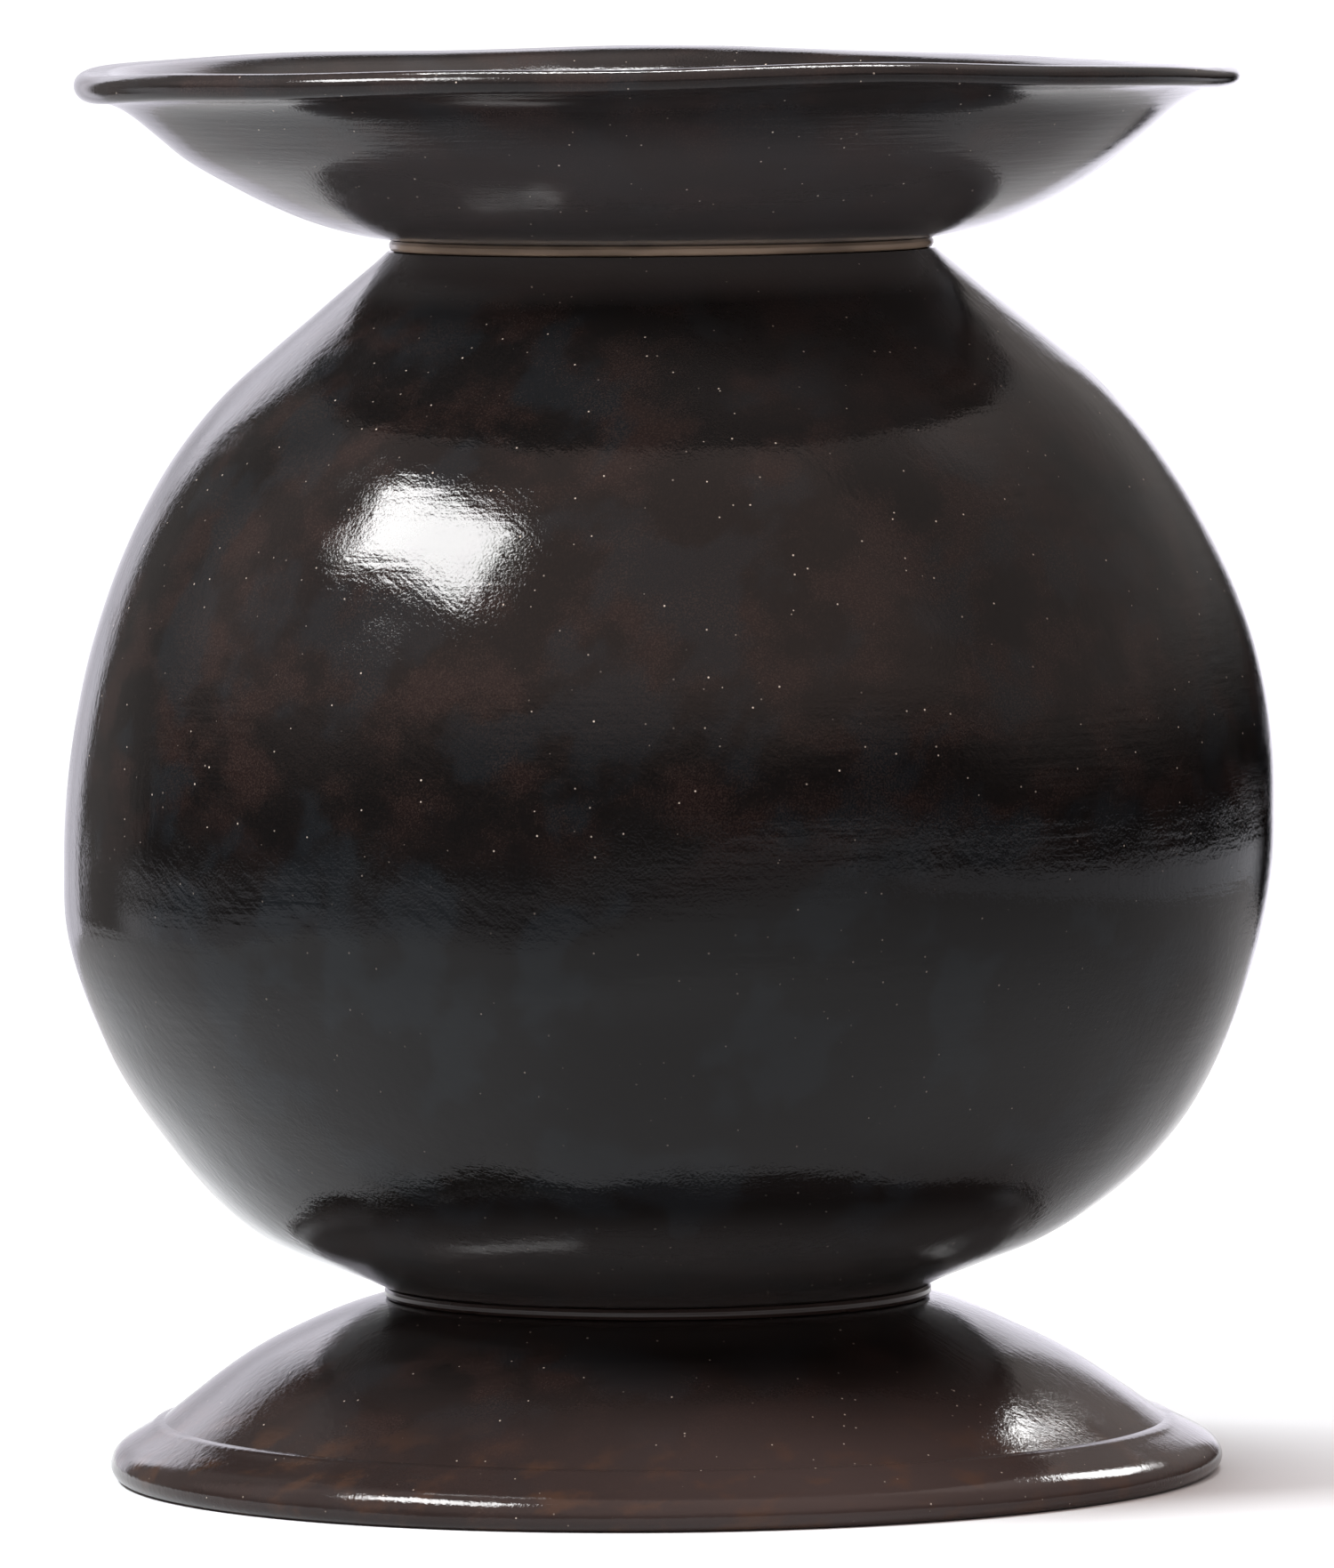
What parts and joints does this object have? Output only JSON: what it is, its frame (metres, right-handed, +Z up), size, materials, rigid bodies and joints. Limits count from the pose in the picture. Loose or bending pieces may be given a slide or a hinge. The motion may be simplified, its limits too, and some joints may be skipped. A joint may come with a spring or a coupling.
{
  "type": "clay pot",
  "caption": "Hand-built burnished black clay pot: flared foot, round globe body and wide flared open bowl, joined at narrow waists.",
  "frame": {"origin": "centre of the ring that the pot stands on", "axes": "+Z up along the pot's axis; the pot is round, so +X and +Y are level and otherwise free"},
  "size_m": [0.3999, 0.4, 0.466],
  "materials": {
    "burnished_black_clay": "stone-burnished to a high gloss, reduction-fired black",
    "joint_slip_clay": "satin, half-burnished brown slip",
    "unburnished_clay": "matte, wiped smooth"
  },
  "bodies": {
    "root": {"foot_flare": "burnished_black_clay", "foot_edge_roll": "burnished_black_clay", "waist_coil": "joint_slip_clay", "body_lower_half": "burnished_black_clay", "body_floor": "unburnished_clay", "equator_coil": "burnished_black_clay", "body_upper_half": "burnished_black_clay", "neck_coil": "joint_slip_clay", "bowl_flare": "burnished_black_clay", "rim_roll": "burnished_black_clay"}
  },
  "joints": []
}
